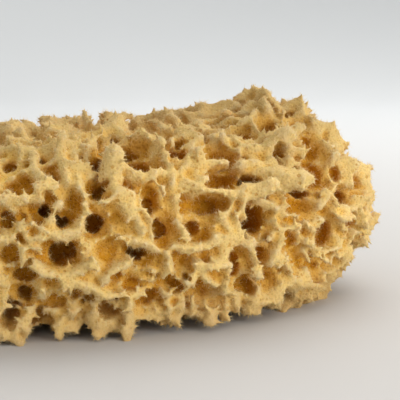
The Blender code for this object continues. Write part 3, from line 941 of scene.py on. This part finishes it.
look = {
    # ridge is the sponge's own golden yellow; middle and deep are darker and browner as painted shade in the
    # hollows, partly its own tone, and pale is a painted highlight on the rims (the fibres use ridge and pale
    # only as random tone)
    "pale": (0.71, 0.56, 0.31, 1),
    "ridge": (0.71, 0.505, 0.19, 1),
    "middle": (0.70, 0.42, 0.095, 1),
    "deep": (0.52, 0.24, 0.015, 1),
    "pore": (0.50, 0.25, 0.04, 1),
    "poreShare": 0.75,
    "stipple": (0.50, 0.36, 0.22, 1),  # darkens what it lies on
    "stippleShare": 0.6,
    "back": (0.66, 0.45, 0.19, 1),
    "backShare": 0.8,
    "above": (0.60, 0.57, 0.53, 1),  # painted shade that darkens the high, upward-facing top
    # underside is painted shade that darkens and browns the lower band and the underside
    "underside": (0.50, 0.31, 0.115, 1),
    "undersideShare": 0.85,
    # Scales of the patterns
    "grainScale": 1500,
    "patchScale": 85,
    "gatherScale": 210,
    "threadScale": (2200, 2200, 420),
    "poreScale": 560,
    "netScale": 1150,
    "fibrePatchScale": 300,
    "bumpStrength": 0.5,
    "bumpDistance": 0.5 * mm,
}


# 6, 7 and 2 are the colour sockets of the Mix node
def mixColour(finish, factor, low, high, blend="MIX"):
    settings = {"data_type": "RGBA", "blend_type": blend}
    return finish.node("ShaderNodeMix", settings, {"Factor": factor, 6: low, 7: high}, 2)


def pattern(finish, kind, place, scale, others=None, output=0):
    return finish.node(kind, inputs={"Vector": place, "Scale": scale, **(others or {})}, output=output)


def axis(finish, vector, letter):
    return finish.node("ShaderNodeSeparateXYZ", inputs={"Vector": vector}, output=letter)


def attribute(finish, name):
    return finish.node("ShaderNodeAttribute", {"attribute_name": name}, output="Fac")


def spongeFinish():
    finish = Finish("spongeSkeleton")
    noise, cells = "ShaderNodeTexNoise", "ShaderNodeTexVoronoi"
    place = finish.node("ShaderNodeTexCoord", output="Object")
    facing = finish.node("ShaderNodeTexCoord", output="Normal")
    aside, height, up = axis(finish, place, "Y"), axis(finish, place, "Z"), axis(finish, facing, "Z")
    rise, depth = attribute(finish, "rise"), attribute(finish, "depth")
    grain = pattern(finish, noise, place, look["grainScale"], {"Detail": 3, "Roughness": 0.7})
    patches = pattern(finish, noise, place, look["patchScale"], {"Detail": 3})
    gather = pattern(finish, noise, place, look["gatherScale"], {"Detail": 1})
    warp = finish.node("ShaderNodeMapping", inputs={"Vector": place, "Scale": look["threadScale"]})
    threads = pattern(finish, noise, warp, 1, {"Detail": 2})
    pores = pattern(finish, cells, place, look["poreScale"], {"Randomness": 1})
    some = pattern(finish, cells, place, look["poreScale"], {"Randomness": 1}, "Color")
    chosen = finish.node("ShaderNodeSeparateColor", inputs={"Color": some})
    net = pattern(finish, cells, place, look["netScale"])
    # Pores of various widths, gathered in groups, and a stipple that lies in the bowls
    dots = ((0.20 + chosen * 0.26 - pores + (grain - 0.5) * 0.3) * 6).clamped()
    dots = dots * ((gather - 0.48) * 9).clamped()
    stipple = ((0.46 - net + (grain - 0.5) * 0.4) * 4).clamped() * (0.62 - rise * 0.7).clamped()
    # Painted shade mixed with random tone: from 0 in the deep hearts of the hollows to 1 on the ridges
    shadeAndToneLevel = (rise * 0.72 + 0.78 - depth * 0.11 + (patches - 0.5) * 0.5 + (grain - 0.5) * 0.35
             + (threads - 0.5) * 0.45).clamped()
    lower = mixColour(finish, (shadeAndToneLevel * 2).clamped(), look["deep"], look["middle"])
    upper = mixColour(finish, (shadeAndToneLevel * 2 - 1).clamped(), lower, look["ridge"])
    # Painted highlight: the rims that stand out most turn pale
    paintedRimHighlight = mixColour(finish, (rise * 1.4 - 0.35 + (threads - 0.5) * 0.8).clamped(), upper, look["pale"])
    speckled = mixColour(finish, stipple * look["stippleShare"], paintedRimHighlight, look["stipple"], "MULTIPLY")
    dotted = mixColour(finish, dots * look["poreShare"], speckled, look["pore"])
    # Darker and browner towards the back, then painted shade on the top and on the underside
    behind = (aside * 25 + 0.5 + (patches - 0.5)).clamped() * look["backShare"]
    darkerBehind = mixColour(finish, behind, dotted, look["back"])
    # Painted shade: the high, upward-facing top is darkened
    over = (up * 0.6 + 0.4).clamped() * (height * 45 - 1.9).clamped()
    shaded = mixColour(finish, over, darkerBehind, look["above"], "MULTIPLY")
    # Painted shade: darker and browner towards the bottom, below about 14 mm over the floor
    under = (0.95 - height * 70 + (patches - 0.5) * 1.2).clamped() * look["undersideShare"]
    colour = mixColour(finish, under, shaded, look["underside"])
    relief = grain * 0.6 + threads * 0.5 + net * 0.7 - dots * 0.9
    bump = finish.node("ShaderNodeBump", inputs={
        "Height": relief, "Strength": look["bumpStrength"], "Distance": look["bumpDistance"]})
    finish.set({
        "Base Color": colour, "Normal": bump, "Roughness": 0.95, "Specular IOR Level": 0.1,
        "Subsurface Weight": 0.25, "Subsurface Radius": (1.0, 0.6, 0.25), "Subsurface Scale": 1.2 * mm})
    return finish.material


def fibreFinish():
    finish = Finish("spongeFibre")
    place = finish.node("ShaderNodeTexCoord", output="Object")
    patches = pattern(finish, "ShaderNodeTexNoise", place, look["fibrePatchScale"], {"Detail": 2})
    colour = mixColour(finish, ((patches - 0.35) * 3).clamped(), look["ridge"], look["pale"])
    finish.set({"Base Color": colour, "Roughness": 0.9})
    return finish.material


sponge.data.materials.clear()
sponge.data.materials.append(spongeFinish())
fibrePaint = fibreFinish()
for piece in fibrePieces:
    piece.data.materials.append(fibrePaint)
for piece in [sponge, *fibrePieces]:
    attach(piece, "root")
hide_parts("sponge")
print("finishes given")


# Floor and light, in metres
studio = {
    "near": (0.49, 0.468, 0.44, 1),
    "far": (0.60, 0.605, 0.60, 1),
    "edge": (0.83, 0.835, 0.825, 1),
    "farFrom": 0.1,  # distance from the middle at which the floor turns to the second and third colour
    "farGain": 1.6,
    "edgeFrom": 0.8,
    "flat": 0.75,
    "rim": (1.0, 1.3, 1.55, 1.7, 1.75),  # radii and heights of the curve up to the background
    "rise": (0.03, 0.14, 0.34, 0.62, 1.0),
    "corners": 96,
    "worldColour": (0.97, 0.985, 1.0, 1),
    "worldStrength": 0.85,
    # power, size and place of each soft lamp: above, and low at the front
    "lamps": [(6.0, 0.8, Vector((0.4, 0.3, 0.7))), (3.9, 0.42, Vector((0.35, -0.7, 0.22)))],
    "aim": Vector((0, 0, 0.03)),
}


def floorFinish():
    finish = Finish("floorPaint")
    place = finish.node("ShaderNodeTexCoord", output="Object")
    away = finish.node("ShaderNodeVectorMath", {"operation": "LENGTH"}, {0: place}, "Value")
    toFar = ((away - studio["farFrom"]) * studio["farGain"]).clamped()
    inner = mixColour(finish, toFar, studio["near"], studio["far"])
    outer = mixColour(finish, (away - studio["edgeFrom"]).clamped(), inner, studio["edge"])
    finish.set({"Base Color": outer, "Roughness": 0.9, "Specular IOR Level": 0.2})
    return finish.material


def addFloor():
    deselectAll()
    bpy.ops.mesh.primitive_circle_add(vertices=studio["corners"], radius=studio["flat"], fill_type="NGON")
    floor = bpy.context.object
    floor.name = "floor"
    bpy.ops.object.mode_set(mode="EDIT")
    bpy.ops.mesh.select_mode(type="EDGE")
    bpy.ops.mesh.select_all(action="SELECT")
    bpy.ops.mesh.region_to_loop()
    wide, high = studio["flat"], 0
    for radius, height in zip(studio["rim"], studio["rise"]):
        bpy.ops.mesh.extrude_edges_move(TRANSFORM_OT_translate={"value": (0, 0, height - high)})
        bpy.ops.transform.resize(value=(radius / wide, radius / wide, 1), center_override=(0, 0, 0))
        wide, high = radius, height
    bpy.ops.object.mode_set(mode="OBJECT")
    applyStep(floor, "SUBSURF", levels=2, render_levels=2)
    floor.data.shade_smooth()
    floor.data.materials.append(floorFinish())


def addLight():
    for power, size, place in studio["lamps"]:
        bpy.ops.object.light_add(type="AREA", location=place)
        lamp = bpy.context.object
        lamp.data.shape = "SQUARE"
        lamp.data.size = size
        lamp.data.energy = power
        lamp.rotation_euler = (studio["aim"] - place).to_track_quat("-Z", "Y").to_euler()
    world = bpy.data.worlds.new("studio")
    bpy.context.scene.world = world
    world.use_nodes = True
    world.node_tree.nodes["Background"].inputs["Color"].default_value = studio["worldColour"]
    world.node_tree.nodes["Background"].inputs["Strength"].default_value = studio["worldStrength"]


addFloor()
addLight()
bpy.context.scene.view_settings.view_transform = "Standard"
print("studio ready after", round(time.time() - started), "s")
